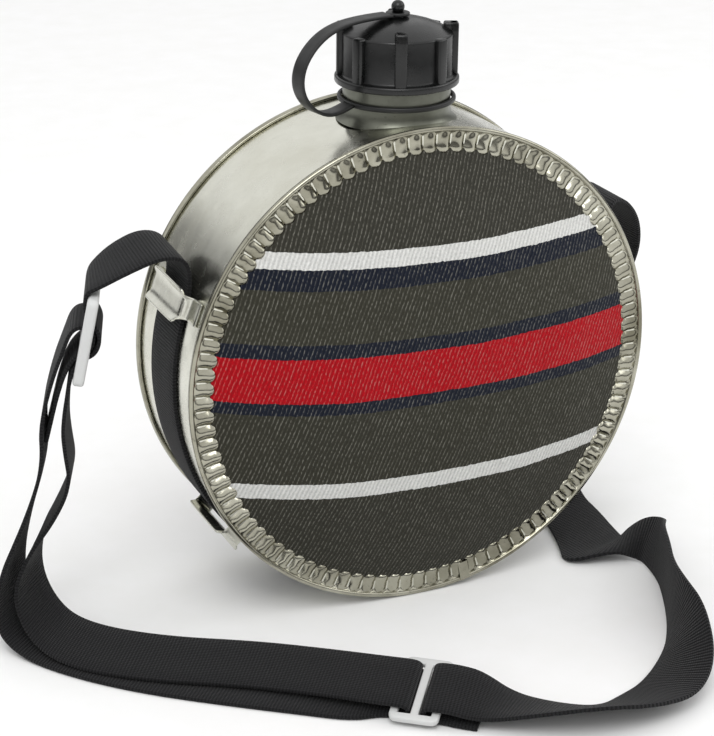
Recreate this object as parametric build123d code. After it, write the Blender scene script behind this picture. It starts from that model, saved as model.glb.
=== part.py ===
"""Two-quart blanket canteen on a webbing shoulder strap.

A round metal flask stands on its rim. Its round wall is a band about the Y axis, its two sides are
domed, padded and covered with striped cloth, and fluted rings clamp the cloth. The neck points up.
Millimetres, +Z up, front side toward -Y, origin on the ground below the middle of the flask.
"""
from build123d import *
import math
import os

# Flask
RIM_R = 95.0
RIM_FACE_W = 9.0
RIM_SKIRT = 3.0
HALF_DEPTH = 30.9
SHEET = 0.8
BAND_R = 93.4
DOME_R = RIM_R - RIM_FACE_W
CLOTH_DOME = 11.5
DISC_DOME = 6.0
CENTRE = Vector(0, 0, RIM_R)

# Neck, cap and tether, about the vertical axis
COLLAR_R = 20.2
COLLAR_TOP = 200.0
THREAD_R = 17.6
BORE_R = 15.5
NECK_TOP = 216.5
CAP_BOTTOM = 200.2
FLANGE_R = 23.3
FLANGE_TOP = 203.0
CAP_R = 20.7
CAP_BORE_R = 18.0
CAP_ROOF = 218.4
CAP_DOME_R = 42.0
CAP_APEX = 224.5
RIB_R = 22.6
RIB_W = 4.5
RIB_INNER_R = 17.0
TALL_RIB_TOP = 222.5
SHORT_RIB_TOP = 219.5
FIRST_RIB_ANGLE = 248.8
STEM_R = 1.7
BALL_R = 2.5
BALL_Z = 228.0
RING_BOTTOM = 193.4
RING_H = 2.0
RING_R = 22.2
EYELET_BOTTOM = 224.9
EYELET_H = 1.2
EYELET_R = 4.5
EYELET_BORE_R = 2.1
TETHER_TURN = 192.0
TETHER_W = 7.0
TETHER_T = 1.2

# Webbing and its hardware
WEB_W = 25.0
WEB_T = 1.4
WEB_R = 94.2
BRACKET_R = 98.0
BRACKET_T = 1.0
BRACKET_L = 13.0
LEG_L = 9.0
UPPER_BRACKET_ANGLE = 70.0
LOWER_BRACKET_ANGLE = 130.5
SLIDER_W = 33.0
SLIDER_SLOT_W = 26.4

UPPER_SLIDER_L = 34.0
UPPER_SLIDER_T = 3.0
UPPER_BAR = 4.0
UPPER_SLIDER = Plane(origin=(-123, 0, 119), x_dir=(0.194, -0.070, 0.978), z_dir=(-0.921, 0.321, 0.206))
LOWER_SLIDER_L = 18.0
LOWER_SLIDER_T = 2.4
LOWER_BAR = 3.0
LOWER_SLIDER = Plane(origin=(-36.4, -107.7, 6.2), x_dir=(0.79, -0.61, 0), z_dir=(-0.122, -0.158, 0.974))

# Where the free webbing lies. A station is its middle, then the direction and share of its width.
LEFT_ARCH = [
    (-86.5, 0, 138.0, 0, 1, 0),
    (-89.0, 0, 146.5, 0, 1, 0.08),
    (-98.0, 0, 148.5, 0, 1, 0.14),
    (-109.5, 0, 144.5, 0.05, 1, 0.12),
    (-119.0, 0, 139.5, 0.25, 0.97, 0.1),
]
INNER_PLY = [
    (-132.5, 1, 86.0, 0.36, 0.93, 0),
    (-132.0, 1, 76.0, 0.36, 0.93, 0),
    (-130.0, 2, 62.0, 0.36, 0.93, 0),
    (-136.5, 3, 48.0, 0.38, 0.92, 0),
    (-145.5, 4, 35.0, 0.48, 0.88, 0),
    (-150.0, 3, 19.0, 0.66, 0.75, 0),
    (-146.5, -10, 6.8, 0.7, 0.7, 0.1),
    (-138.0, -28, 5.0, 0.65, 0.73, 0.2),
    (-116.0, -47, 5.0, 0.6, 0.8, 0.18),
    (-86.0, -64, 5.2, 0.6, 0.8, 0.18),
    (-64.0, -82, 6.5, 0.62, 0.77, 0.18),
]
OUTER_PLY = [
    (-56, -98.5, 1.0, 0.62, 0.77, 0),
    (-71, -87.4, 0.9, 0.63, 0.77, 0),
    (-95, -70, 0.9, 0.63, 0.77, 0),
    (-119, -51, 0.9, 0.64, 0.76, 0),
    (-138, -31, 0.9, 0.68, 0.73, 0),
    (-150.5, -12, 1.2, 0.72, 0.69, 0),
    (-157, 0, 8.5, 0.72, 0.69, 0),
    (-155, 5, 26.0, 0.6, 0.8, 0),
    (-149.5, 3, 44.0, 0.45, 0.9, 0),
    (-143.5, 2, 60.0, 0.38, 0.92, 0),
    (-140.5, 1, 74.0, 0.36, 0.93, 0),
    (-141.0, 1, 88.0, 0.34, 0.94, 0),
]
RIGHT_RUN = [
    (86.8, 0.5, 137.0, 0, 1, 0),
    (91.0, 3, 145.5, 0, 1, 0),
    (100.0, 8, 143.0, 0, 1, 0),
    (110.5, 14, 132.0, 0, 1, 0),
    (114.0, 20, 116.0, -0.1, 1, 0),
    (110.0, 28, 98.0, -0.3, 0.95, 0),
    (102.0, 36, 78.0, -0.6, 0.8, 0),
    (96.0, 40, 56.0, -0.85, 0.5, 0),
    (92.0, 40, 34.0, -0.97, 0.2, 0),
    (90.0, 36, 15.0, -1, 0, 0),
    (89.5, 21, 1.2, -1, -0.05, 0),
    (88.0, 2, 0.9, -1.05, -0.15, 0),
    (84.5, -14, 0.9, -1.15, -0.25, 0),
    (80.5, -28, 1.1, -1.35, -0.35, 0),
    (90.5, -30.5, 5.0, -0.6, -0.7, 0.1),
    (98.0, -34.5, 7.5, -0.5, -0.5, -0.42),
    (100.0, -43.0, 9.5, -0.45, -0.15, -0.68),
    (93.0, -58.0, 12.8, 0, 0, -1),
    (87.0, -72.0, 12.8, 0, 0, -1),
    (80.0, -86.0, 12.8, 0, 0, -1),
    (75.0, -98.0, 12.8, -0.15, 0.05, -0.98),
    (70.5, -112.0, 11.8, -0.4, 0.33, -0.85),
    (61.0, -128.0, 7.0, -0.58, 0.7, -0.45),
    (48.0, -138.5, 3.9, -0.5, 0.85, -0.22),
    (33.0, -143.0, 5.3, -0.05, 0.92, -0.33),
    (16.0, -144.5, 7.2, 0.42, 0.75, -0.51),
    (1.0, -136.5, 5.6, 0.62, 0.68, -0.36),
    (-12.0, -125.5, 3.4, 0.7, 0.7, -0.12),
]
RIGHT_TAIL = [
    (-24.5, -117.0, 1.6, 0.61, 0.79, 0.03),
    (-18.5, -121.5, 0.9, 0.61, 0.79, 0),
]

# The tether bows outward beside the cap: distance from the neck's axis, then height.
TETHER_ROUTE = [
    (22.4, 194.4),
    (27.0, 192.4),
    (34.0, 192.2),
    (41.0, 196.5),
    (45.0, 204.0),
    (43.5, 212.5),
    (37.0, 220.0),
    (28.0, 224.3),
    (15.0, 225.7),
    (4.8, 225.5),
]


def spun(*lines):
    """Turn an outline of (radius, y) about the flask's axis."""
    return revolve(make_face(Curve() + list(lines)), Axis.Y).moved(Location(CENTRE))


def turned(points):
    """Turn an outline of (radius, z) about the vertical axis."""
    return revolve(Plane.XZ * make_face(Polyline(*points, close=True)), Axis.Z)


def tube(outer_r, inner_r, bottom, top):
    return turned([(inner_r, bottom), (outer_r, bottom), (outer_r, top), (inner_r, top)])


def rod(radius, bottom, top):
    return turned([(0, bottom), (radius, bottom), (radius, top), (0, top)])


def dome_arc(radius, base, rise):
    """Arc from the middle of a dome to its edge."""
    ball = (radius**2 + rise**2) / (2 * rise)
    half_rise = math.sqrt(ball**2 - (radius / 2) ** 2) - (ball - rise)
    return ThreePointArc((0, base + rise), (radius / 2, base + half_rise), (radius, base))


def domed_sheet(dome_r, edge_r, base, rise, thickness):
    """Domed sheet with a flat edge that lies in the rim."""
    return spun(
        dome_arc(dome_r, base + thickness, rise),
        Polyline(
            (dome_r, base + thickness),
            (edge_r, base + thickness),
            (edge_r, base),
            (dome_r, base),
        ),
        dome_arc(dome_r, base, rise),
        Line((0, base), (0, base + thickness)).moved(Location((0, rise))),
    )


def side_band():
    half = HALF_DEPTH - 3 * SHEET
    wall = spun(
        Polyline(
            (BAND_R - SHEET, -half),
            (BAND_R, -half),
            (BAND_R, half),
            (BAND_R - SHEET, half),
            close=True,
        )
    )
    return wall - rod(BORE_R, COLLAR_TOP - 20, COLLAR_TOP)


def side_disc():
    return domed_sheet(DOME_R, BAND_R, HALF_DEPTH - 3 * SHEET, DISC_DOME, SHEET)


def cover_cloth():
    return domed_sheet(DOME_R, BAND_R, HALF_DEPTH - 2 * SHEET, CLOTH_DOME, SHEET)


def felt_pad():
    """Lens between the metal side and the cloth, a hair clear of both."""
    base = HALF_DEPTH - 2 * SHEET
    edge = DOME_R - 4
    clear = 0.05
    lower = dome_arc(DOME_R, base + clear, DISC_DOME)
    upper = dome_arc(DOME_R, base - clear, CLOTH_DOME)
    lens = make_face(Curve() + [upper, Line(upper @ 1, lower @ 1), lower, Line(lower @ 0, upper @ 0)])
    trim = Pos(edge / 2, base + CLOTH_DOME / 2) * Rectangle(edge, 2 * CLOTH_DOME)
    return revolve(lens & trim, Axis.Y).moved(Location(CENTRE))


def rim_ring():
    top = HALF_DEPTH
    return spun(
        Polyline(
            (DOME_R, top - SHEET),
            (BAND_R + SHEET / 2, top - SHEET),
            (BAND_R + SHEET / 2, top - RIM_SKIRT),
            (RIM_R, top - RIM_SKIRT),
            (RIM_R, top - SHEET / 2),
            (RIM_R - SHEET / 2, top),
            (DOME_R, top),
            close=True,
        )
    )


def neck():
    flare = 1.6
    flare_top = 190.0
    tall = turned(
        [
            (BORE_R, 184),
            (COLLAR_R + flare, 184),
            (COLLAR_R + flare, flare_top - 2 * flare),
            (COLLAR_R, flare_top),
            (COLLAR_R, COLLAR_TOP),
            (THREAD_R, COLLAR_TOP),
            (THREAD_R, NECK_TOP),
            (BORE_R, NECK_TOP),
        ]
    )
    flask = Pos(CENTRE) * Rot(90, 0, 0) * Cylinder(BAND_R, 2 * HALF_DEPTH)
    return tall - flask


def dome_z(radius):
    """Height of the cap's dome at a distance from its axis."""
    return CAP_APEX - CAP_DOME_R + math.sqrt(CAP_DOME_R**2 - radius**2)


def cap():
    """Screw cap in one moulding: flange, wall, dome, stem and knob, then the eight ribs."""
    ball_start = BALL_Z - math.sqrt(BALL_R**2 - STEM_R**2)
    outline = [
        Polyline(
            (0, BALL_Z + BALL_R),
            (0, CAP_ROOF),
            (CAP_BORE_R, CAP_ROOF),
            (CAP_BORE_R, CAP_BOTTOM),
            (FLANGE_R, CAP_BOTTOM),
            (FLANGE_R, FLANGE_TOP - 1),
            (FLANGE_R - 1, FLANGE_TOP),
            (CAP_R, FLANGE_TOP),
            (CAP_R, dome_z(CAP_R)),
        ),
        ThreePointArc((CAP_R, dome_z(CAP_R)), (CAP_R / 2, dome_z(CAP_R / 2)), (STEM_R, dome_z(STEM_R))),
        Line((STEM_R, dome_z(STEM_R)), (STEM_R, ball_start)),
        ThreePointArc((STEM_R, ball_start), (BALL_R, BALL_Z), (0, BALL_Z + BALL_R)),
    ]
    whole = revolve(Plane.XZ * make_face(Curve() + outline), Axis.Z)
    for number in range(8):
        whole += cap_rib(number)
    return whole


def cap_rib(number):
    """Every second rib is tall and reaches over the shoulder of the cap."""
    top = SHORT_RIB_TOP if number % 2 else TALL_RIB_TOP
    inner = CAP_BORE_R + 1 if number % 2 else RIB_INNER_R
    low = CAP_ROOF + 0.5
    outer = Pos((CAP_BORE_R + 1 + RIB_R) / 2, 0, (FLANGE_TOP + top) / 2) * Box(
        RIB_R - CAP_BORE_R - 1, RIB_W, top - FLANGE_TOP
    )
    shoulder = Pos((inner + RIB_R) / 2, 0, (low + top) / 2) * Box(RIB_R - inner, RIB_W, top - low)
    return Rot(0, 0, FIRST_RIB_ANGLE + 45 * number) * (outer + shoulder)


def tether_strap():
    route = FilletPolyline(*TETHER_ROUTE, radius=tangent_radii(TETHER_ROUTE))
    flat = Plane.XZ * trace(route, TETHER_T)
    return Rot(0, 0, TETHER_TURN) * extrude(flat, TETHER_W / 2, both=True)


def tangent_radii(points):
    """Largest arc for each corner of a route that its two runs leave room for."""
    vectors = [Vector(*point) for point in points]
    radii = []
    for before, corner, after in zip(vectors, vectors[1:], vectors[2:]):
        half_turn = math.radians((corner - before).get_angle(after - corner)) / 2
        shorter = min((corner - before).length, (after - corner).length)
        radii.append(0.45 * shorter / math.tan(half_turn))
    return radii


def bracket(angle):
    """Bent keeper: a raised plate on two legs whose feet are fixed to the band."""
    inner = 15.0
    foot_end = 23.5
    low = BAND_R
    high = BRACKET_R - BRACKET_T
    half = [
        (0, high),
        (inner, high),
        (inner + 0.6, low),
        (foot_end, low),
        (foot_end, low + BRACKET_T),
        (inner + 1.6, low + BRACKET_T),
        (inner + 1.0, BRACKET_R),
        (0, BRACKET_R),
    ]
    section = Plane.YZ * make_face(Polyline(*half, close=True))
    leg = extrude(section, LEG_L / 2, both=True)
    plate = Pos(0, inner / 2, BRACKET_R - BRACKET_T / 2) * Box(BRACKET_L, inner, BRACKET_T)
    side = leg + plate
    whole = side + mirror(side, Plane.XZ)
    return Pos(CENTRE) * Rot(0, angle, 0) * whole


def slider(place, length, thickness, bar):
    """Three-bar slider: two slots for the webbing, x along the webbing, y across it."""
    slot = (length - 3 * bar) / 2
    plate = extrude(RectangleRounded(length, SLIDER_W, 2.5), thickness / 2, both=True)
    for side in (-1, 1):
        plate -= Pos(side * (bar + slot) / 2, 0) * Box(slot, SLIDER_SLOT_W, 2 * thickness)
    return place * plate


def on_flask(angle, radius):
    """Point on the middle plane at an angle from the top of the flask, positive toward +X."""
    turn = math.radians(angle)
    return CENTRE + Vector(radius * math.sin(turn), 0, radius * math.cos(turn))


def strap_body_run():
    """The webbing on the band, from one upper bracket down and round to the other."""
    ends = [on_flask(side * UPPER_BRACKET_ANGLE, WEB_R) for side in (-1, 1)]
    lowest = on_flask(180, WEB_R)
    route = ThreePointArc(*[(p.X, p.Z) for p in (ends[0], lowest, ends[1])])
    return extrude(Plane.XZ * trace(route, WEB_T), WEB_W / 2, both=True)


def bracket_exit(side):
    """Station where the free webbing takes over from the run on the band."""
    start = on_flask(side * (UPPER_BRACKET_ANGLE - 1), WEB_R)
    return [(start.X, 0, start.Z, 0, 1, 0)]


def woven(place, steps):
    """Stations through a slider, from (distance along the webbing, height above the plate)."""
    across = place.y_dir
    points = [place.from_local_coords(Vector(along, 0, height)) for along, height in steps]
    return [(*tuple(point), *tuple(across)) for point in points]


def webbing(stations):
    """Flat webbing through its stations: a closed strip of ruled faces."""
    middles = [Vector(*station[:3]) for station in stations]
    widths = [Vector(*station[3:]) * WEB_W for station in stations]
    corners = []
    for number, (middle, width) in enumerate(zip(middles, widths)):
        before = middles[max(number - 1, 0)]
        after = middles[min(number + 1, len(middles) - 1)]
        side = width / 2
        face_up = (after - before).cross(width).normalized() * (WEB_T / 2)
        ring = [middle + side + face_up, middle - side + face_up]
        ring += [middle - side - face_up, middle + side - face_up]
        corners.append(ring)
    faces = [Face(Wire.make_polygon(corners[end], close=True)) for end in (0, -1)]
    for ring, following in zip(corners, corners[1:]):
        for k in range(4):
            edge = Edge.make_line(ring[k], ring[(k + 1) % 4])
            next_edge = Edge.make_line(following[k], following[(k + 1) % 4])
            faces.append(Face.make_surface_from_curves(edge, next_edge))
    return Solid(Shell(faces))


def strap_stations():
    """Stations of the four free runs of webbing, by name."""
    arch_end = woven(UPPER_SLIDER, [(18, 3.2), (11, 2.4), (8, 0.4)])
    through = woven(UPPER_SLIDER, [(7.2, -0.8), (4, -4.8), (-4, -4.8), (-7.5, 0), (-11, 2.4), (-18, 3.2)])
    inner_end = woven(LOWER_SLIDER, [(-13, 2.7), (-6.5, 2.9), (-3, 2.3), (-2.5, 0.5)])
    outer_start = woven(LOWER_SLIDER, [(-2.5, -0.5), (-3, -2.3), (-6.5, -2.8), (-12, -2.8)])
    loop = [(-18, 9.5), (-6, 7.5), (3, 6), (5.4, 1.5), (3, -2.6), (-3, -2.6), (-5.4, 1.5), (-12, 5.2)]
    sewn_tail = [(-24, 6.6), (-34, 7.0), (-42, 7.4)]
    over = [(20, 1.2), (13, 2.7), (6.5, 2.9), (3, 2.3)]
    under = [(2.5, 0), (3, -2.3), (6.5, -2.7), (11, -2.7)]
    return {
        "strap_left_arch": bracket_exit(-1) + LEFT_ARCH + arch_end,
        "strap_inner_ply": through + INNER_PLY + inner_end,
        "strap_outer_ply": outer_start + OUTER_PLY + woven(UPPER_SLIDER, loop + sewn_tail),
        "strap_right_run": bracket_exit(1) + RIGHT_RUN + woven(LOWER_SLIDER, over + under) + RIGHT_TAIL,
    }


def build():
    flip = Plane.XZ
    front_and_rear = {
        "side_disc": side_disc(),
        "felt_pad": felt_pad(),
        "cover_cloth": cover_cloth(),
        "rim_ring": rim_ring(),
    }
    parts = {"side_band": side_band(), "neck": neck(), "cap": cap()}
    for name, shape in front_and_rear.items():
        parts[f"rear_{name}"] = shape
        parts[f"front_{name}"] = mirror(shape, flip)
    parts["cap_gasket"] = tube(CAP_BORE_R - 0.3, 11, NECK_TOP + 0.2, CAP_ROOF - 0.2)
    parts["tether_ring"] = tube(RING_R, COLLAR_R + 0.4, RING_BOTTOM, RING_BOTTOM + RING_H)
    parts["tether_strap"] = tether_strap()
    parts["tether_eyelet"] = tube(EYELET_R, EYELET_BORE_R, EYELET_BOTTOM, EYELET_BOTTOM + EYELET_H)
    for level, angle in (("upper", UPPER_BRACKET_ANGLE), ("lower", LOWER_BRACKET_ANGLE)):
        parts[f"{level}_left_bracket"] = bracket(-angle)
        parts[f"{level}_right_bracket"] = bracket(angle)
    parts["upper_slider"] = slider(UPPER_SLIDER, UPPER_SLIDER_L, UPPER_SLIDER_T, UPPER_BAR)
    parts["lower_slider"] = slider(LOWER_SLIDER, LOWER_SLIDER_L, LOWER_SLIDER_T, LOWER_BAR)
    parts["strap_body_run"] = strap_body_run()
    for run, stations in strap_stations().items():
        parts[run] = webbing(stations)
    return parts


def cord_report(name, shape, stations):
    """Length, tightest bend and share of section times length that a run's volume comes to."""
    middles = [Vector(*station[:3]) for station in stations]
    spans = [after - before for before, after in zip(middles, middles[1:])]
    length = sum(span.length for span in spans)
    bends = []
    for span, following in zip(spans, spans[1:]):
        turn = math.radians(span.get_angle(following))
        bends.append(min(span.length, following.length) / 2 / math.tan(max(turn, 0.001) / 2))
    share = shape.volume / (length * WEB_W * WEB_T)
    print(name, "length", round(length), "tightest bend", round(min(bends), 1), "volume share", round(share, 2))


os.makedirs("parts", exist_ok=True)
built = build()
for part_name, part_shape in built.items():
    export_step(part_shape, f"parts/{part_name}.step")
    box = part_shape.bounding_box()
    print(part_name, round(part_shape.volume), "mm3", "lowest", round(box.min.Z, 2))
for run_name, run_stations in strap_stations().items():
    cord_report(run_name, built[run_name], run_stations)
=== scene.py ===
"""Studio scene of a blanket canteen on a webbing strap. Metres, +Z up, front side toward -Y."""

from math import cos, pi, radians, sin, sqrt

import bmesh
import bpy
from mathutils import Matrix, Vector, noise


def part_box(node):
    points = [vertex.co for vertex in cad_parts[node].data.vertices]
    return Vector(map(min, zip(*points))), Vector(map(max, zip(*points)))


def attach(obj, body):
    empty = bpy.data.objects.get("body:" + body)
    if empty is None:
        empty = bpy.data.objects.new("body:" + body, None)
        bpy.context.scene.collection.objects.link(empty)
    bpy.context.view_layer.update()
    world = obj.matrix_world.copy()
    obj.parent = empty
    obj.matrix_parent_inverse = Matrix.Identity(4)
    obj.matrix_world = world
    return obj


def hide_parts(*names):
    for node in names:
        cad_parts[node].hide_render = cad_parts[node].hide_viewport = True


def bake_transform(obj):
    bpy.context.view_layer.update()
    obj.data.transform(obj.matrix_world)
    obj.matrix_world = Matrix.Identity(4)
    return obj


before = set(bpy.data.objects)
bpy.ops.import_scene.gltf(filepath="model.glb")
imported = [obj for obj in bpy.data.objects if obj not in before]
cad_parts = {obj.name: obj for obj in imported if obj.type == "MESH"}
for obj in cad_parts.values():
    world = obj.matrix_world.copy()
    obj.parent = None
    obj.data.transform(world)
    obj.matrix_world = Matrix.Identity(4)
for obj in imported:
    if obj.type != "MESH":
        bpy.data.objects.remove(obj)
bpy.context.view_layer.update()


def corners(node):
    """Lowest and highest corner of a CAD node."""
    return [Vector(corner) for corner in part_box(node)]


# The flask, read from the frame
RIM_LOW, RIM_HIGH = corners("front_rim_ring")
BAND_LOW, BAND_HIGH = corners("side_band")
CENTRE = (RIM_LOW + RIM_HIGH) / 2
CENTRE.y = 0
RIM_R = (RIM_HIGH.z - RIM_LOW.z) / 2
RIM_DEPTH = -RIM_LOW.y
RIM_SKIRT = RIM_HIGH.y - RIM_LOW.y
BAND_R = (BAND_HIGH.z - BAND_LOW.z) / 2
CLOTH_DEPTH = -corners("front_cover_cloth")[0].y
RIM_FACE_W = 0.009
DOME_R = RIM_R - RIM_FACE_W
FLUTES = 100
FLUTE_DEPTH = 0.0015
LAP_ANGLE = 168

# The neck, cap and tether, read from the frame
NECK_LOW, NECK_HIGH = corners("neck")
CAP_LOW, CAP_HIGH = corners("cap")
RING_LOW, RING_HIGH = corners("tether_ring")
EYELET_LOW, EYELET_HIGH = corners("tether_eyelet")
FLANGE_R = CAP_HIGH.x
CAP_WALL_R = FLANGE_R - 0.0026
CAP_BORE_R = 0.018
RIB_R = FLANGE_R - 0.0007
CAP_RIBS = 8
FIRST_RIB_ANGLE = 248.8
THREAD_R = 0.0176
THREAD_PITCH = 0.004
THREAD_RIDGE = 0.00035
RING_BORE_R = NECK_HIGH.x - 0.0012
EYELET_BORE_R = 0.0021
NECK_BORE_R = 0.0155
COLLAR_TOP = CAP_LOW.z - 0.0002
TETHER_TURN = 192.0
TETHER_W = 0.007
TETHER_T = 0.0012
TETHER_ROUTE = [
    (0.0218, 0.1944),
    (0.0270, 0.1924),
    (0.0340, 0.1922),
    (0.0410, 0.1965),
    (0.0450, 0.2040),
    (0.0435, 0.2125),
    (0.0370, 0.2200),
    (0.0280, 0.2243),
    (0.0150, 0.2257),
    (0.0044, 0.2255),
]

# The webbing and its hardware
WEB_W = 0.025
WEB_T = 0.0014
WEB_R = BAND_R + 0.0008
BRACKET_ANGLES = {"upper": 70.0, "lower": 130.5}
BRACKET_R = BAND_R + 0.0046
SLIDER_W = 0.033
SLOT_W = 0.0264
UPPER_SLIDER = {"length": 0.034, "thickness": 0.0042, "bar": 0.004}
UPPER_SLIDER_ALONG = (0.194, -0.070, 0.978)
UPPER_SLIDER_NORMAL = (-0.921, 0.321, 0.206)
LOWER_SLIDER = {"length": 0.018, "thickness": 0.0024, "bar": 0.003}
LOWER_SLIDER_ALONG = (0.79, -0.61, 0)
LOWER_SLIDER_NORMAL = (-0.122, -0.158, 0.974)

# Where the free webbing lies. A station is its middle, then the direction and share of its width.
LEFT_ARCH = [
    (-0.0865, 0, 0.1380, 0, 1, 0),
    (-0.0890, 0, 0.1465, 0, 1, 0.08),
    (-0.0980, 0, 0.1485, 0, 1, 0.14),
    (-0.1095, 0, 0.1445, 0.05, 1, 0.12),
    (-0.1190, 0, 0.1395, 0.25, 0.97, 0.1),
]
INNER_PLY = [
    (-0.1325, 0.001, 0.086, 0.36, 0.93, 0),
    (-0.1320, 0.001, 0.076, 0.36, 0.93, 0),
    (-0.1300, 0.002, 0.062, 0.36, 0.93, 0),
    (-0.1365, 0.003, 0.048, 0.38, 0.92, 0),
    (-0.1455, 0.004, 0.035, 0.48, 0.88, 0),
    (-0.1500, 0.003, 0.019, 0.66, 0.75, 0),
    (-0.1465, -0.010, 0.0068, 0.7, 0.7, 0.1),
    (-0.1380, -0.028, 0.0050, 0.65, 0.73, 0.2),
    (-0.1160, -0.047, 0.0050, 0.6, 0.8, 0.18),
    (-0.0860, -0.064, 0.0052, 0.6, 0.8, 0.18),
    (-0.0640, -0.082, 0.0065, 0.62, 0.77, 0.18),
]
OUTER_PLY = [
    (-0.0560, -0.0985, 0.0010, 0.62, 0.77, 0),
    (-0.0710, -0.0874, 0.0009, 0.63, 0.77, 0),
    (-0.0950, -0.0700, 0.0009, 0.63, 0.77, 0),
    (-0.1190, -0.0510, 0.0009, 0.64, 0.76, 0),
    (-0.1380, -0.0310, 0.0009, 0.68, 0.73, 0),
    (-0.1505, -0.0120, 0.0012, 0.72, 0.69, 0),
    (-0.1570, 0.000, 0.0085, 0.72, 0.69, 0),
    (-0.1550, 0.005, 0.026, 0.6, 0.8, 0),
    (-0.1495, 0.003, 0.044, 0.45, 0.9, 0),
    (-0.1435, 0.002, 0.060, 0.38, 0.92, 0),
    (-0.1405, 0.001, 0.074, 0.36, 0.93, 0),
    (-0.1410, 0.001, 0.088, 0.34, 0.94, 0),
]
RIGHT_RUN = [
    (0.0868, 0.0005, 0.1370, 0, 1, 0),
    (0.0910, 0.003, 0.1455, 0, 1, 0),
    (0.1000, 0.008, 0.1430, 0, 1, 0),
    (0.1105, 0.014, 0.1320, 0, 1, 0),
    (0.1140, 0.020, 0.1160, -0.1, 1, 0),
    (0.1100, 0.028, 0.0980, -0.3, 0.95, 0),
    (0.1020, 0.036, 0.0780, -0.6, 0.8, 0),
    (0.0960, 0.040, 0.0560, -0.85, 0.5, 0),
    (0.0920, 0.040, 0.0340, -0.97, 0.2, 0),
    (0.0900, 0.036, 0.0150, -1, 0, 0),
    (0.0895, 0.021, 0.0012, -1, -0.05, 0),
    (0.0880, 0.002, 0.0009, -1.05, -0.15, 0),
    (0.0845, -0.014, 0.0009, -1.15, -0.25, 0),
    (0.0805, -0.028, 0.0011, -1.35, -0.35, 0),
    (0.0905, -0.0305, 0.0050, -0.6, -0.7, 0.1),
    (0.0980, -0.0345, 0.0075, -0.5, -0.5, -0.42),
    (0.1000, -0.0430, 0.0095, -0.45, -0.15, -0.68),
    (0.0930, -0.0580, 0.0128, 0, 0, -1),
    (0.0870, -0.0720, 0.0128, 0, 0, -1),
    (0.0800, -0.0860, 0.0128, 0, 0, -1),
    (0.0750, -0.0980, 0.0128, -0.15, 0.05, -0.98),
    (0.0705, -0.1120, 0.0118, -0.4, 0.33, -0.85),
    (0.0610, -0.1280, 0.0070, -0.58, 0.7, -0.45),
    (0.0480, -0.1385, 0.0039, -0.5, 0.85, -0.22),
    (0.0330, -0.1430, 0.0053, -0.05, 0.92, -0.33),
    (0.0160, -0.1445, 0.0072, 0.42, 0.75, -0.51),
    (0.0010, -0.1365, 0.0056, 0.62, 0.68, -0.36),
    (-0.0120, -0.1255, 0.0034, 0.7, 0.7, -0.12),
]
RIGHT_TAIL = [
    (-0.0245, -0.1170, 0.0016, 0.61, 0.79, 0.03),
    (-0.0185, -0.1215, 0.0009, 0.61, 0.79, 0),
]


# Shapes


def piece(name, bm, made_of, smooth=35):
    """Object from a mesh, with its normals outward and its edges sharper than an angle kept."""
    bmesh.ops.remove_doubles(bm, verts=bm.verts, dist=1e-6)
    bmesh.ops.recalc_face_normals(bm, faces=bm.faces)
    mesh = bpy.data.meshes.new(name)
    bm.to_mesh(mesh)
    bm.free()
    mesh.shade_smooth()
    mesh.set_sharp_from_angle(angle=radians(smooth))
    mesh.materials.append(made_of)
    made = bpy.data.objects.new(name, mesh)
    bpy.context.scene.collection.objects.link(made)
    return made


def modifier(obj, kind, **settings):
    """Adds a modifier with its settings."""
    made = obj.modifiers.new(kind.title(), kind)
    for key, value in settings.items():
        setattr(made, key, value)


def rounded(obj, width, segments=3, angle=40):
    """Rounds every edge sharper than an angle."""
    modifier(
        obj,
        "BEVEL",
        width=width,
        segments=segments,
        limit_method="ANGLE",
        angle_limit=radians(angle),
        harden_normals=False,
    )


def smoothed(obj, levels=1):
    """Subdivides a piece the same in the view and in the render."""
    modifier(obj, "SUBSURF", levels=levels, render_levels=levels)


def spin_outline(bm, outline, middle, axis, steps):
    """Turns an outline of (radius, distance along the axis) once about the axis."""
    along = Vector(axis)
    verts = [bm.verts.new(middle + Vector((radius, 0, 0)) + along * far) for radius, far in outline]
    edges = [bm.edges.new(pair) for pair in zip(verts, verts[1:])]
    bmesh.ops.spin(
        bm,
        geom=verts + edges,
        cent=middle,
        axis=along,
        angle=2 * pi,
        steps=steps,
        use_merge=True,
    )
    bmesh.ops.remove_doubles(bm, verts=bm.verts, dist=1e-6)


def turned(name, outline, made_of, steps=128, smooth=35):
    """A piece turned about the vertical axis."""
    bm = bmesh.new()
    spin_outline(bm, outline, Vector(), (0, 0, 1), steps)
    return piece(name, bm, made_of, smooth)


def soft_corner(corner, radius, start, end, steps=4):
    """Points of a quarter round at a corner, from one angle to another, in degrees."""
    points = []
    for step in range(steps + 1):
        turn = radians(start + (end - start) * step / steps)
        points.append((corner[0] + radius * cos(turn), corner[1] + radius * sin(turn)))
    return points


def on_flask(angle, radius):
    """Point on the middle plane at an angle from the top of the flask, positive toward +X."""
    turn = radians(angle)
    return CENTRE + Vector((radius * sin(turn), 0, radius * cos(turn)))


# The strap


def slider_place(node, along, normal):
    """Matrix of a slider from its box's middle: x along the webbing, y across it, z its normal."""
    low, high = corners(node)
    along = Vector(along).normalized()
    across = Vector(normal).cross(along).normalized()
    turn = Matrix((along, across, along.cross(across))).transposed().to_4x4()
    return Matrix.Translation((low + high) / 2) @ turn


def woven(place, steps):
    """Stations through a slider, from (millimetres along the webbing, millimetres above the plate)."""
    across = place.to_3x3() @ Vector((0, 1, 0))
    points = [place @ Vector((along / 1000, 0, height / 1000)) for along, height in steps]
    return [(*point, *across) for point in points]


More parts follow.
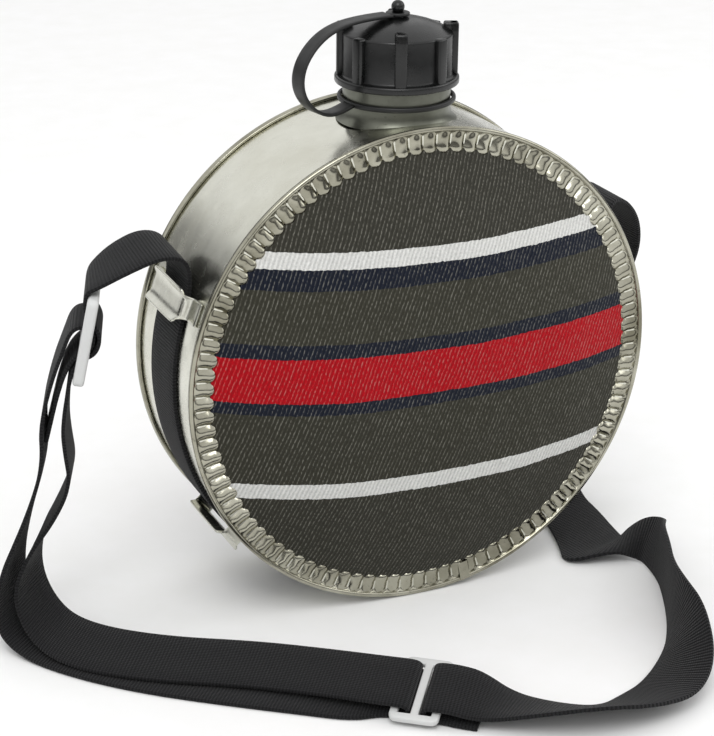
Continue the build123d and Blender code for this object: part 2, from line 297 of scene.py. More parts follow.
def drawn_mesh(curve):
    """Mesh of a curve, which it takes the place of."""
    drawn = bpy.data.objects.new(curve.name, curve)
    mesh = bpy.data.meshes.new_from_object(drawn)
    bpy.data.objects.remove(drawn)
    bpy.data.curves.remove(curve)
    return mesh


def smooth_line(points, steps):
    """Points along a smooth line drawn by control points."""
    curve = bpy.data.curves.new("line", "CURVE")
    curve.dimensions = "3D"
    spline = curve.splines.new("NURBS")
    spline.points.add(len(points) - 1)
    for control, point in zip(spline.points, points):
        control.co = (*point, 1)
    spline.order_u = 3
    spline.use_endpoint_u = True
    spline.resolution_u = steps
    mesh = drawn_mesh(curve)
    line = [vert.co.copy() for vert in mesh.vertices]
    bpy.data.meshes.remove(mesh)
    return line


def line_length(line):
    """Length of a line through its points."""
    return sum((after - before).length for before, after in zip(line, line[1:]))


def ribbon(name, stations, width, thickness, made_of, steps=8, across=4):
    """Flat strip through its stations, with a map of metres across and along it. Returns its line too."""
    middles = [Vector(station[:3]) for station in stations]
    sides = [Vector(station[3:]) * width / 2 for station in stations]
    line = smooth_line(middles, steps)
    one = smooth_line([m + s for m, s in zip(middles, sides)], steps)
    other = smooth_line([m - s for m, s in zip(middles, sides)], steps)
    bm = bmesh.new()
    bmesh.ops.create_grid(bm, x_segments=len(line) - 1, y_segments=across, size=1)
    along = [line_length(line[: number + 1]) for number in range(len(line))]
    columns = {}
    for number, vert in enumerate(bm.verts):
        row, column = divmod(number, len(line))
        vert.co = one[column].lerp(other[column], row / across)
        columns[vert] = ((row / across - 0.5) * width, along[column])
    layer = bm.loops.layers.uv.new("strip")
    for face in bm.faces:
        for loop in face.loops:
            loop[layer].uv = columns[loop.vert]
    made = piece(name, bm, made_of, 60)
    modifier(made, "SOLIDIFY", thickness=thickness, offset=0)
    rounded(made, thickness * 0.3, 2)
    return made, line


def bracket_exit(side):
    """Station where the free webbing takes over from the run on the band."""
    angle = side * (BRACKET_ANGLES["upper"] - 1)
    return [(*on_flask(angle, WEB_R), 0, 1, 0)]


def body_run(made_of):
    """The webbing on the band, from one upper bracket down and round to the other."""
    first = BRACKET_ANGLES["upper"]
    spans = 56
    turns = [first + (360 - 2 * first) * step / spans for step in range(spans + 1)]
    stations = [(*on_flask(turn, WEB_R), 0, 1, 0) for turn in turns]
    return ribbon("body_run_webbing", stations, WEB_W, WEB_T, made_of, steps=3)[0]


def slider(name, place, length, thickness, bar, made_of):
    """Three-bar slider from a grid whose two middle cells are open."""
    lines_x = [-length / 2, bar - length / 2, -bar / 2, bar / 2, length / 2 - bar, length / 2]
    lines_y = [-SLIDER_W / 2, -SLOT_W / 2, SLOT_W / 2, SLIDER_W / 2]
    bm = bmesh.new()
    bmesh.ops.create_grid(bm, x_segments=5, y_segments=3, size=1)
    for number, vert in enumerate(bm.verts):
        row, column = divmod(number, len(lines_x))
        vert.co = (lines_x[column], lines_y[row], 0)
    slots = []
    for face in bm.faces:
        middle = face.calc_center_median()
        if bar / 2 < abs(middle.x) < length / 2 - bar and abs(middle.y) < SLOT_W / 2:
            slots.append(face)
    bmesh.ops.delete(bm, geom=slots, context="FACES")
    ends = [vert for vert in bm.verts if len(vert.link_faces) == 1]
    bmesh.ops.bevel(
        bm,
        geom=ends,
        offset=0.0028,
        segments=6,
        profile=0.5,
        affect="VERTICES",
        material=-1,
    )
    bmesh.ops.transform(bm, matrix=place, verts=bm.verts)
    made = piece(name, bm, made_of)
    modifier(made, "SOLIDIFY", thickness=thickness, offset=0)
    rounded(made, thickness * 0.3, 4)
    return made


def bracket(name, angle, made_of):
    """Bent keeper: a raised plate with flared lips, on two legs whose feet lie on the band."""
    half = [
        (0, 1, 0.0065),
        (0.0135, 1, 0.0065),
        (0.0146, 0.97, 0.0062),
        (0.0153, 0.85, 0.0046),
        (0.0157, 0.15, 0.0043),
        (0.0165, 0.03, 0.0043),
        (0.0178, 0, 0.0044),
        (0.0235, 0, 0.0045),
    ]
    section = [(-y, up, long) for y, up, long in reversed(half[1:])] + half
    foot_r = BAND_R + 0.0005
    rise = BRACKET_R - 0.0005 - foot_r
    columns = 8
    bm = bmesh.new()
    bmesh.ops.create_grid(bm, x_segments=columns, y_segments=len(section) - 1, size=1)
    for number, vert in enumerate(bm.verts):
        row, column = divmod(number, columns + 1)
        y, up, long = section[row]
        share = 2 * column / columns - 1
        lip = 0.0022 * up * max(0, abs(share) - 0.5) ** 2 / 0.25
        vert.co = (share * long, y, foot_r + rise * up + lip)
    bmesh.ops.transform(bm, matrix=Matrix.Rotation(radians(angle), 4, "Y"), verts=bm.verts)
    bmesh.ops.translate(bm, vec=CENTRE, verts=bm.verts)
    made = piece(name, bm, made_of, 60)
    modifier(made, "SOLIDIFY", thickness=0.001, offset=0)
    rounded(made, 0.0004, 2)
    smoothed(made)
    return made


# The flask


def rim_ring(name, side, made_of):
    """Fluted ring with a bead round its edge and a skirt over the band."""
    face = RIM_DEPTH
    outline = [
        (DOME_R - 0.0010, face - 0.0009),
        (DOME_R - 0.0006, face - 0.0001),
        (DOME_R + 0.0004, face + 0.0002),
        (DOME_R + 0.0016, face),
        (DOME_R + 0.0028, face - 0.0003),
        (DOME_R + 0.0042, face - 0.0003),
        (DOME_R + 0.0056, face - 0.0004),
        (DOME_R + 0.0064, face - 0.0008),
        (DOME_R + 0.0070, face - 0.0009),
    ]
    outline += [
        (RIM_R - 0.0010 + 0.0010 * cos(turn), face - 0.0010 + 0.0010 * sin(turn))
        for turn in [radians(150 - 30 * step) for step in range(6)]
    ]
    outline += [
        (RIM_R - 0.0004, face - RIM_SKIRT + 0.0003),
        (RIM_R - 0.0008, face - RIM_SKIRT),
        (BAND_R + 0.0001, face - RIM_SKIRT + 0.0002),
    ]
    bm = bmesh.new()
    spin_outline(bm, [(r, side * y) for r, y in outline], CENTRE, (0, 1, 0), 10 * FLUTES)
    for vert in bm.verts:
        spoke = vert.co - CENTRE
        radius = sqrt(spoke.x**2 + spoke.z**2)
        inside = min(max((DOME_R + 0.0068 - radius) / 0.0010, 0), 1)
        turn = FLUTES * Vector((spoke.x, spoke.z)).angle_signed(Vector((1, 0)))
        if abs(spoke.y) > face - 0.0012:
            vert.co.y -= side * FLUTE_DEPTH * inside * (1 - abs(cos(turn / 2)))
    made = piece(name, bm, made_of, 60)
    modifier(made, "SOLIDIFY", thickness=0.0004, offset=-1)
    return made


def rim_lap(name, side, made_of):
    """The lap where the ring's two ends meet: a short second layer of its edge."""
    bm = bmesh.new()
    bmesh.ops.create_cube(bm, size=1)
    bmesh.ops.scale(bm, vec=(0.0042, 0.0003, 0.0080), verts=bm.verts)
    bmesh.ops.translate(bm, vec=(0, side * (RIM_DEPTH + 0.0001), 0.0905), verts=bm.verts)
    bmesh.ops.transform(bm, matrix=Matrix.Rotation(radians(LAP_ANGLE), 4, "Y"), verts=bm.verts)
    bmesh.ops.translate(bm, vec=CENTRE, verts=bm.verts)
    made = piece(name, bm, made_of)
    rounded(made, 0.0001, 2)
    return made


def cloth_profile(share):
    """Height of the padded side at a share of its radius, from 1 in the middle to 0 at the rim."""
    return 1 - share**2.9


def cover(name, side, made_of):
    """Blanket cloth stretched over the padded side, slightly uneven, most of all toward the rim."""
    base = RIM_DEPTH - 0.0010
    rise = CLOTH_DEPTH - base + 0.0002
    rings = 36
    reach = DOME_R + 0.0006
    outline = [
        (reach * step / rings, side * (base + rise * cloth_profile(step / rings)))
        for step in range(rings + 1)
    ]
    bm = bmesh.new()
    spin_outline(bm, outline, CENTRE, (0, 1, 0), 180)
    for vert in bm.verts:
        spoke = vert.co - CENTRE
        share = min(sqrt(spoke.x**2 + spoke.z**2) / reach, 1)
        loose = share**3 * (1 - share) * 4
        puff = abs(noise.noise(vert.co * 28)) * 0.0016 + abs(noise.noise(vert.co * 130)) * 0.0008 * loose
        vert.co.y += side * puff * (1 - share**6)
    made = piece(name, bm, made_of, 180)
    smoothed(made)
    return made


# The neck, cap and tether


def helix(name, radius, ridge, bottom, top, made_of):
    """Round thread ridge wound up a vertical wall."""
    steps = 48
    count = int((top - bottom) / THREAD_PITCH * steps)
    curve = bpy.data.curves.new(name, "CURVE")
    curve.dimensions = "3D"
    curve.bevel_depth = ridge
    curve.bevel_resolution = 2
    curve.use_fill_caps = True
    spline = curve.splines.new("POLY")
    spline.points.add(count)
    for number, point in enumerate(spline.points):
        turn = 2 * pi * number / steps
        rise = bottom + THREAD_PITCH * number / steps
        point.co = (radius * cos(turn), radius * sin(turn), rise, 1)
    mesh = drawn_mesh(curve)
    bm = bmesh.new()
    bm.from_mesh(mesh)
    bpy.data.meshes.remove(mesh)
    return piece(name, bm, made_of, 60)


def neck(made_of):
    """Neck: a flared foot, a collar and the plain wall that carries the thread."""
    collar_r = NECK_HIGH.x - 0.0016
    flare_top = 0.190
    outline = [(NECK_BORE_R, NECK_LOW.z + 0.0005), (collar_r + 0.0026, NECK_LOW.z + 0.0005)]
    outline += [(collar_r + 0.0016, flare_top - 0.0030), (collar_r + 0.0006, flare_top - 0.0012)]
    outline += [(collar_r + 0.0002, flare_top), (collar_r, flare_top + 0.0016)]
    outline += soft_corner((collar_r - 0.0005, COLLAR_TOP - 0.0005), 0.0005, 0, 90)
    outline += [(THREAD_R, COLLAR_TOP)]
    outline += soft_corner((THREAD_R - 0.0007, NECK_HIGH.z - 0.0007), 0.0007, 0, 180, 8)
    outline += [(NECK_BORE_R, NECK_LOW.z + 0.0005)]
    return turned("filler_neck", outline, made_of)


def cap_dome(radius):
    """Height of the cap's dome at a distance from its axis."""
    ball_r = 0.042
    return CAP_HIGH.z - 0.006 - ball_r + sqrt(ball_r**2 - radius**2)


def add_block(bm, low, high, turn, edge):
    """Box with rounded edges, turned about the vertical axis."""
    made = bmesh.ops.create_cube(bm, size=1)["verts"]
    bmesh.ops.scale(bm, vec=Vector(high) - Vector(low), verts=made)
    bmesh.ops.translate(bm, vec=(Vector(high) + Vector(low)) / 2, verts=made)
    bmesh.ops.rotate(bm, matrix=Matrix.Rotation(radians(turn), 3, "Z"), verts=made)
    edges = list({line for vert in made for line in vert.link_edges})
    bmesh.ops.bevel(
        bm,
        geom=edges,
        offset=edge,
        segments=3,
        profile=0.5,
        affect="EDGES",
        material=-1,
    )


def cap(made_of):
    """Moulded cap: flange, wall, shallow dome and the knob that the tether holds."""
    wall = CAP_WALL_R
    shoulder = cap_dome(wall)
    roof = CAP_HIGH.z - 0.0121
    stem = 0.0017
    knob = 0.0025
    outline = [(0, roof), (CAP_BORE_R, roof), (CAP_BORE_R, CAP_LOW.z + 0.0003)]
    outline += soft_corner((FLANGE_R - 0.0006, CAP_LOW.z + 0.0006), 0.0006, -90, 0)
    outline += soft_corner((FLANGE_R - 0.0009, CAP_LOW.z + 0.0019), 0.0009, 0, 90)
    outline += [(wall + 0.0006, CAP_LOW.z + 0.0029), (wall, CAP_LOW.z + 0.0036)]
    outline += soft_corner((wall - 0.0012, shoulder - 0.0008), 0.0012, 0, 70)
    outline += [(radius / 1000, cap_dome(radius / 1000)) for radius in (17, 14, 11, 8, 5, 3)]
    outline += [(stem + 0.0005, cap_dome(stem) + 0.0001), (stem, cap_dome(stem) + 0.0006)]
    outline += [(stem, CAP_HIGH.z - 2 * knob + 0.0005)]
    outline += soft_corner((0, CAP_HIGH.z - knob), knob, -40, 90, 8)
    bm = bmesh.new()
    spin_outline(bm, outline, Vector(), (0, 0, 1), 128)
    return piece("cap_moulding", bm, made_of, 50)


def cap_ribs(made_of):
    """Eight grip ribs; every second one is tall and reaches over the shoulder."""
    tall = CAP_HIGH.z - 0.008
    bm = bmesh.new()
    for number in range(CAP_RIBS):
        top = tall - 0.003 * (number % 2)
        inner = CAP_BORE_R + 0.001 * (2 * (number % 2) - 1)
        low = (CAP_BORE_R + 0.0008, -0.00225, CAP_LOW.z + 0.002)
        high = (RIB_R, 0.00225, top)
        turn = FIRST_RIB_ANGLE + 360 / CAP_RIBS * number
        add_block(bm, low, high, turn, 0.0008)
        if number % 2 == 0:
            add_block(bm, (inner, -0.00225, top - 0.004), high, turn, 0.0008)
    return piece("cap_grip_ribs", bm, made_of)


def washer(name, low, high, inner, made_of):
    """Flat ring with rounded edges, between two heights."""
    outer = high.x
    edge = (high.z - low.z) * 0.35
    outline = soft_corner((outer - edge, low.z + edge), edge, -90, 0)
    outline += soft_corner((outer - edge, high.z - edge), edge, 0, 90)
    outline += soft_corner((inner + edge, high.z - edge), edge, 90, 180)
    outline += soft_corner((inner + edge, low.z + edge), edge, 180, 270)
    outline += outline[:1]
    return turned(name, outline, made_of, 96)


def tether(made_of):
    """Flat strip that bows outward from the ring on the neck to the knob on the cap."""
    turn = Matrix.Rotation(radians(TETHER_TURN), 3, "Z")
    across = turn @ Vector((0, 1, 0))
    stations = [(*(turn @ Vector((far, 0, high))), *across) for far, high in TETHER_ROUTE]
    return ribbon("tether_band", stations, TETHER_W, TETHER_T, made_of)[0]


# Materials


def add(tree, kind, inputs=(), **settings):
    """A node with its settings. An input is a value, or another node's output."""
    made = tree.nodes.new(kind)
    for key, value in settings.items():
        setattr(made, key, value)
    for key, value in dict(inputs).items():
        if isinstance(value, bpy.types.NodeSocket):
            tree.links.new(value, made.inputs[key])
        else:
            made.inputs[key].default_value = value
    return made


def linear(red, green, blue):
    """Linear colour from 0-255 screen values."""
    shares = [value / 255 for value in (red, green, blue)]
    return (*[s / 12.92 if s < 0.04045 else ((s + 0.055) / 1.055) ** 2.4 for s in shares], 1)


def new_material(name, roughness, metallic=0.0):
    """(material, its tree, its shader, its place in metres)"""
    made = bpy.data.materials.new(name)
    made.use_nodes = True
    tree = made.node_tree
    shader = tree.nodes["Principled BSDF"]
    shader.inputs["Roughness"].default_value = roughness
    shader.inputs["Metallic"].default_value = metallic
    place = add(tree, "ShaderNodeTexCoord").outputs["Object"]
    return made, tree, shader, place


def noise_at(tree, place, scale, detail=4.0, roughness=0.6):
    """Noise from 0 to 1 at a place."""
    inputs = {"Vector": place, "Scale": scale, "Detail": detail, "Roughness": roughness}
    return add(tree, "ShaderNodeTexNoise", inputs).outputs["Fac"]


def ranged(tree, value, low, high, to_low=0.0, to_high=1.0):
    """A value moved from one range to another, and kept inside it."""
    inputs = {"Value": value, 1: low, 2: high, 3: to_low, 4: to_high}
    return add(tree, "ShaderNodeMapRange", inputs).outputs["Result"]


def mixed(tree, share, one, other):
    """One colour, or the other where the share is 1."""
    inputs = {"Factor": share, 6: one, 7: other}
    return add(tree, "ShaderNodeMix", inputs, data_type="RGBA").outputs[2]


def maths(tree, what, one, other=0.0):
    """The sum, product, sine or other operation on one or two values."""
    return add(tree, "ShaderNodeMath", {0: one, 1: other}, operation=what).outputs[0]


def bumped(tree, shader, height, depth, strength=1.0):
    """Lets a height, as deep as a distance in metres, turn the shader's normals."""
    inputs = {"Height": height, "Distance": depth, "Strength": strength}
    tree.links.new(add(tree, "ShaderNodeBump", inputs).outputs["Normal"], shader.inputs["Normal"])


def metal(name, bright, dull, roughness, spots=0.3):
    """Worn metal: cloudy tarnish, small dark spots and faint dents."""
    made, tree, shader, place = new_material(name, roughness, 1.0)
    cloud = noise_at(tree, place, 35, 6)
    speck = ranged(tree, noise_at(tree, place, 700, 3), 0.62, 0.75)
    colour = mixed(tree, ranged(tree, cloud, 0.35, 0.7), linear(*bright), linear(*dull))
    colour = mixed(tree, maths(tree, "MULTIPLY", speck, spots), colour, linear(40, 38, 34))
    tree.links.new(colour, shader.inputs["Base Color"])
    rough = ranged(tree, noise_at(tree, place, 90, 6), 0.3, 0.7, roughness - 0.07, roughness + 0.1)
    tree.links.new(rough, shader.inputs["Roughness"])
    bumped(tree, shader, noise_at(tree, place, 60, 3), 0.0002, 0.12)
    return made


def moulded(name, colour, roughness, grain=900):
    """Moulded plastic or rubber with a fine grain and handling marks."""
    made, tree, shader, place = new_material(name, roughness)
    dust = ranged(tree, noise_at(tree, place, 55, 6), 0.45, 0.8)
    lighter = tuple(min(part + 28, 255) for part in colour)
    shown = mixed(tree, maths(tree, "MULTIPLY", dust, 0.2), linear(*colour), linear(*lighter))
    tree.links.new(shown, shader.inputs["Base Color"])
    rough = ranged(tree, noise_at(tree, place, 120, 5), 0.3, 0.7, roughness - 0.06, roughness + 0.12)
    tree.links.new(rough, shader.inputs["Roughness"])
    bumped(tree, shader, noise_at(tree, place, grain, 3), 0.0001, 0.4)
    return made


def felt(name):
    """Pressed grey wool."""
    made, tree, shader, place = new_material(name, 0.95)
    hair = noise_at(tree, place, 500, 8, 0.75)
    colour = mixed(tree, hair, linear(70, 68, 64), linear(128, 124, 116))
    tree.links.new(colour, shader.inputs["Base Color"])
    bumped(tree, shader, hair, 0.0006, 0.8)
    return made


def blanket(name):
    """Striped wool twill: bands on olive, turned a little and bending upward toward -X."""
    made, tree, shader, place = new_material(name, 0.92)
    tilt = {"Vector": place, "Center": tuple(CENTRE), "Axis": (0, 1, 0), "Angle": radians(1.8)}
    level = add(tree, "ShaderNodeVectorRotate", tilt).outputs[0]
    parts = add(tree, "ShaderNodeSeparateXYZ", {"Vector": level}).outputs
    wander = maths(tree, "MULTIPLY", maths(tree, "SUBTRACT", noise_at(tree, place, 600, 3), 0.5), 0.0012)
    pull = maths(tree, "POWER", ranged(tree, parts["X"], 0.03, -0.087), 2.0)
    wander = maths(tree, "SUBTRACT", wander, maths(tree, "MULTIPLY", pull, 0.009))
    high = maths(tree, "ADD", maths(tree, "SUBTRACT", parts["Z"], CENTRE.z), wander)
    share = ranged(tree, high, -0.1, 0.1)
    bands = [
        (-100.0, (54, 53, 45)),
        (-45.2, (222, 222, 219)),
        (-38.5, (56, 55, 46)),
        (-10.0, (24, 29, 42)),
        (-5.1, (176, 6, 22)),
        (12.0, (24, 29, 42)),
        (17.5, (58, 57, 48)),
        (38.0, (24, 29, 42)),
        (46.0, (222, 222, 219)),
        (52.1, (58, 57, 50)),
    ]
    ramp = add(tree, "ShaderNodeValToRGB", {"Fac": share})
    ramp.color_ramp.interpolation = "CONSTANT"
    for number, (start, colour) in enumerate(bands):
        spot = (start / 1000 + 0.1) / 0.2
        if number > 1:
            ramp.color_ramp.elements.new(spot)
        ramp.color_ramp.elements[number].position = spot
        ramp.color_ramp.elements[number].color = linear(*colour)
    lean = maths(tree, "MULTIPLY", parts["Z"], -0.42)
    wander = maths(tree, "MULTIPLY", noise_at(tree, place, 90, 2), 0.0012)
    across = maths(tree, "ADD", maths(tree, "ADD", parts["X"], lean), wander)
    ridge = ranged(tree, maths(tree, "SINE", maths(tree, "MULTIPLY", across, 2 * pi / 0.00165)), -1, 1)
    fuzz = noise_at(tree, place, 1400, 4, 0.7)
    dashes = add(tree, "ShaderNodeMapping", {"Vector": place, "Scale": (2100, 2100, 620)})
    dashes.inputs["Rotation"].default_value = (0, radians(23), 0)
    dash = add(tree, "ShaderNodeTexNoise", {"Vector": dashes.outputs[0], "Scale": 1.0, "Detail": 2.0})
    fleck = ranged(tree, maths(tree, "MULTIPLY", dash.outputs["Fac"], ridge), 0.42, 0.62)
    wool = mixed(tree, maths(tree, "MULTIPLY", fleck, 0.3), ramp.outputs["Color"], linear(176, 174, 164))
    shade = ranged(tree, maths(tree, "ADD", maths(tree, "MULTIPLY", ridge, 0.4), fuzz), 0.3, 1.1, 0.62, 1.2)
    inputs = {"Color": wool, "Value": shade}
    wool = add(tree, "ShaderNodeHueSaturation", inputs).outputs["Color"]
    tree.links.new(wool, shader.inputs["Base Color"])
    shader.inputs["Sheen Weight"].default_value = 0.08
    shader.inputs["Sheen Roughness"].default_value = 0.6
    shader.inputs["Specular IOR Level"].default_value = 0.05
    height = maths(tree, "ADD", maths(tree, "MULTIPLY", ridge, 0.5), fuzz)
    bumped(tree, shader, height, 0.0005, 0.8)
    return made


def woven_tape(name):
    """Ribbed webbing: ribs across it, fine lines along it and a little lint."""
    made, tree, shader, place = new_material(name, 0.85)
    strip = add(tree, "ShaderNodeUVMap", uv_map="strip").outputs["UV"]
    parts = add(tree, "ShaderNodeSeparateXYZ", {"Vector": strip}).outputs
    wobble = maths(tree, "MULTIPLY", noise_at(tree, place, 300, 3), 1.4)
    rib = maths(tree, "ADD", maths(tree, "MULTIPLY", parts["Y"], 2 * pi / 0.00125), wobble)
    rib = ranged(tree, maths(tree, "SINE", rib), -1, 1)
    warp = maths(tree, "SINE", maths(tree, "MULTIPLY", parts["X"], 2 * pi / 0.0009))
    weave = maths(tree, "ADD", rib, maths(tree, "MULTIPLY", warp, 0.18))
    lint = noise_at(tree, place, 1100, 5, 0.75)
    shade = ranged(tree, maths(tree, "ADD", weave, lint), 0.2, 1.7)
    colour = mixed(tree, shade, linear(8, 8, 9), linear(34, 34, 36))
    fleck = maths(tree, "MULTIPLY", ranged(tree, lint, 0.66, 0.76), 0.35)
    colour = mixed(tree, fleck, colour, linear(78, 77, 74))
    tree.links.new(colour, shader.inputs["Base Color"])
    shader.inputs["Sheen Weight"].default_value = 0.08
    shader.inputs["Specular IOR Level"].default_value = 0.2
    bumped(tree, shader, maths(tree, "ADD", weave, maths(tree, "MULTIPLY", lint, 0.5)), 0.00035, 0.9)
    return made


def backdrop(name):
    """Near-white paper."""
    made, tree, shader, place = new_material(name, 0.9)
    grain = noise_at(tree, place, 40, 4)
    colour = mixed(tree, ranged(tree, grain, 0.3, 0.7), linear(243, 243, 242), linear(246, 246, 246))
    tree.links.new(colour, shader.inputs["Base Color"])
    shader.inputs["Specular IOR Level"].default_value = 0.1
    return made


def repaint(node, made_of):
    """Gives a CAD node its material."""
    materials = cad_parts[node].data.materials
    materials.clear()
    materials.append(made_of)


# The studio

CAMERA_AT = (-0.3274, -0.6950, 0.3962)
CAMERA_AHEAD = (0.38, 0.845, -0.376)
CAMERA_ROLL = 0.65
CAMERA_LENS = 106.35


def camera():
    """Looks down on the flask from its front left, with a long lens."""
    ahead = Vector(CAMERA_AHEAD).normalized()
    right = ahead.cross(Vector((0, 0, 1))).normalized()
    up = right.cross(ahead)
    roll = radians(CAMERA_ROLL)
    level = right * cos(roll) + up * sin(roll)
    data = bpy.data.cameras.new("camera")
    data.sensor_fit = "HORIZONTAL"
    data.sensor_width = 36
    data.lens = CAMERA_LENS
    made = bpy.data.objects.new("camera", data)
    turn = Matrix((level, level.cross(ahead), -ahead)).transposed().to_4x4()
    made.matrix_world = Matrix.Translation(CAMERA_AT) @ turn
    bpy.context.scene.collection.objects.link(made)
    bpy.context.scene.camera = made


def lamp(name, at, size, watts):
    """Square soft light aimed at the flask."""
    data = bpy.data.lights.new(name, "AREA")
    data.shape = "SQUARE"
    data.size = size
    data.energy = watts
    made = bpy.data.objects.new(name, data)
    aim = (Vector(at) - CENTRE).to_track_quat("Z", "Y").to_matrix().to_4x4()
    made.matrix_world = Matrix.Translation(at) @ aim
    bpy.context.scene.collection.objects.link(made)


def studio():
    """Pale floor, and a sky that is bright overhead and dark near the ground, for the metal to mirror."""
    bm = bmesh.new()
    bmesh.ops.create_grid(bm, x_segments=1, y_segments=1, size=30)
    floor = piece("floor", bm, backdrop("floor_paper"))
    world = bpy.data.worlds.new("studio")
    bpy.context.scene.world = world
    bpy.context.scene.view_settings.view_transform = "Standard"
    world.use_nodes = True
    tree = world.node_tree
    parts = add(tree, "ShaderNodeSeparateXYZ", {0: add(tree, "ShaderNodeTexCoord").outputs["Generated"]})
    ramp = add(tree, "ShaderNodeValToRGB", {"Fac": parts.outputs["Z"]})
    ramp.color_ramp.elements[0].position = 0.04
    ramp.color_ramp.elements[0].color = (0.12, 0.12, 0.12, 1)
    ramp.color_ramp.elements[1].position = 0.5
    ramp.color_ramp.elements[1].color = (1, 1, 1, 1)
    for place, level in ((0.2, 0.3), (0.28, 0.95)):
        ramp.color_ramp.elements.new(place).color = (level, level, level, 1)
    sky = tree.nodes["Background"]
    tree.links.new(ramp.outputs["Color"], sky.inputs["Color"])
    sky.inputs["Strength"].default_value = 1.0
    lamp("key", (-0.5, -0.9, 1.5), 0.9, 9)
    lamp("side", (1.3, -0.3, 0.9), 0.8, 3)


# The canteen


def stand_in(made, node, body):
    """A piece that shows a CAD node and rides on its body."""
    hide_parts(node)
    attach(made, body)


def add_to(made, body):
    """A piece of its own that rides on a body."""
    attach(made, body)


def arch_run(upper, webbing):
    """From the upper left bracket over into the upper slider."""
    into = woven(upper, [(18, 3.2), (11, 2.4), (8, 0.4)])
    return ribbon("arch_webbing", bracket_exit(-1) + LEFT_ARCH + into, WEB_W, WEB_T, webbing)


def inner_run(upper, lower, webbing):
    """Through the upper slider, down to the floor and along it to the lower slider."""
    through = woven(upper, [(7.2, -0.8), (4, -4.8), (-4, -4.8), (-7.5, 0), (-11, 2.4), (-18, 3.2)])
    end = woven(lower, [(-13, 2.7), (-6.5, 2.9), (-3, 2.3), (-2.5, 0.5)])
    return ribbon("inner_webbing", through + INNER_PLY + end, WEB_W, WEB_T, webbing)


def outer_run(upper, lower, webbing):
    """Back under the inner ply, up outside it, round the upper slider's bar and into a sewn tail."""
    start = woven(lower, [(-2.5, -0.5), (-3, -2.3), (-6.5, -2.8), (-12, -2.8)])
    rising = woven(upper, [(-18, 9.5), (-6, 7.5), (3, 6), (5.4, 1.5)])
    round_bar = woven(upper, [(3, -2.6), (-3, -2.6), (-5.4, 1.5), (-12, 5.2)])
    tail = woven(upper, [(-24, 6.6), (-34, 7.0), (-42, 7.4)])
    stations = start + OUTER_PLY + rising + round_bar + tail
    return ribbon("outer_webbing", stations, WEB_W, WEB_T, webbing)


def right_run(lower, webbing):
    """From the upper right bracket down behind, folded and twisted, to the lower slider and a tail."""
    over = woven(lower, [(20, 1.2), (13, 2.7), (6.5, 2.9), (3, 2.3)])
    under = woven(lower, [(2.5, 0), (3, -2.3), (6.5, -2.7), (11, -2.7)])
    stations = bracket_exit(1) + RIGHT_RUN + over + under + RIGHT_TAIL
    return ribbon("right_webbing", stations, WEB_W, WEB_T, webbing)


def strap(webbing, slider_plastic):
    """The free webbing as three runs and an arch, with the sliders that join them."""
    upper = slider_place("upper_slider", UPPER_SLIDER_ALONG, UPPER_SLIDER_NORMAL)
    lower = slider_place("lower_slider", LOWER_SLIDER_ALONG, LOWER_SLIDER_NORMAL)
    upper_piece = slider("adjusting_slider", upper, made_of=slider_plastic, **UPPER_SLIDER)
    lower_piece = slider("joining_slider", lower, made_of=slider_plastic, **LOWER_SLIDER)
    stand_in(upper_piece, "upper_slider", "strap_slider")
    stand_in(lower_piece, "lower_slider", "flask")

    arch, arch_line = arch_run(upper, webbing)
    inner, inner_line = inner_run(upper, lower, webbing)
    outer, outer_line = outer_run(upper, lower, webbing)
    right, right_line = right_run(lower, webbing)
    stand_in(right, "strap_right_run", "flask")
    bending = {"strap_left_arch": arch, "strap_inner_ply": inner, "strap_outer_ply": outer}
    for node, run in bending.items():
        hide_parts(node)
    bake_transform(arch)
    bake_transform(inner)
    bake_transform(outer)


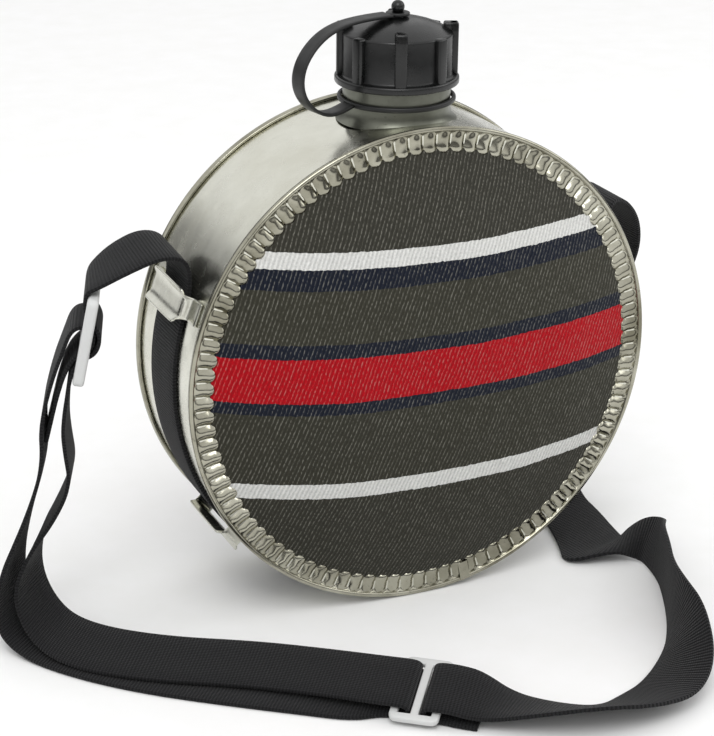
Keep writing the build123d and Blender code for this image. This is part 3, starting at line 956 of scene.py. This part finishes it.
def flask(plain, rim, wool, bracket_metal):
    """The metal body with its rings, padded cloth sides and the keepers for the webbing."""
    for side, word in ((-1, "front"), (1, "rear")):
        stand_in(rim_ring(f"{word}_fluted_rim", side, rim), f"{word}_rim_ring", "flask")
        add_to(rim_lap(f"{word}_rim_lap", side, rim), "flask")
        cloth = cover(f"{word}_blanket", side, wool)
        stand_in(cloth, f"{word}_cover_cloth", "flask")
        repaint(f"{word}_side_disc", plain)
        repaint(f"{word}_felt_pad", felt(f"{word}_felt"))
    for level, angle in BRACKET_ANGLES.items():
        for side, word in ((-1, "left"), (1, "right")):
            made = bracket(f"{level}_{word}_keeper", side * angle, bracket_metal)
            stand_in(made, f"{level}_{word}_bracket", "flask")
    repaint("side_band", plain)


def closure(dull, cap_plastic, tether_plastic, rubber):
    """The neck with its thread, the cap with its ribs, the gasket and the tether."""
    repaint("cap_gasket", rubber)
    stand_in(neck(dull), "neck", "flask")
    thread = helix("neck_thread", THREAD_R, THREAD_RIDGE, COLLAR_TOP + 0.002, NECK_HIGH.z - 0.002, dull)
    add_to(thread, "flask")
    stand_in(cap(cap_plastic), "cap", "screw_cap")
    add_to(cap_ribs(cap_plastic), "screw_cap")
    ring = washer("tether_collar", RING_LOW, RING_HIGH, RING_BORE_R, tether_plastic)
    stand_in(ring, "tether_ring", "swivel_ring")
    eyelet = washer("tether_eye", EYELET_LOW, EYELET_HIGH, EYELET_BORE_R, tether_plastic)
    stand_in(eyelet, "tether_eyelet", "eyelet")
    band = tether(tether_plastic)
    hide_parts("tether_strap")
    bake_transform(band)


def build():
    """Makes the materials, the studio and every piece."""
    plain = metal("plain_metal", (219, 219, 208), (206, 205, 192), 0.22, 0.1)
    rim = metal("rim_metal", (186, 184, 169), (124, 121, 105), 0.15, 0.45)
    dull = metal("neck_metal", (122, 124, 114), (96, 97, 88), 0.36, 0.4)
    bracket_metal = metal("bracket_metal", (220, 220, 210), (186, 185, 172), 0.24, 0.25)
    slider_plastic = moulded("slider_plastic", (205, 206, 205), 0.4)
    cap_plastic = moulded("cap_plastic", (9, 10, 10), 0.27)
    tether_plastic = moulded("tether_plastic", (13, 14, 14), 0.42)
    rubber = moulded("gasket_rubber", (44, 42, 40), 0.75, 1400)
    wool = blanket("blanket_cloth")
    webbing = woven_tape("webbing")

    camera()
    studio()
    strap(webbing, slider_plastic)
    stand_in(body_run(webbing), "strap_body_run", "flask")
    flask(plain, rim, wool, bracket_metal)
    closure(dull, cap_plastic, tether_plastic, rubber)


build()
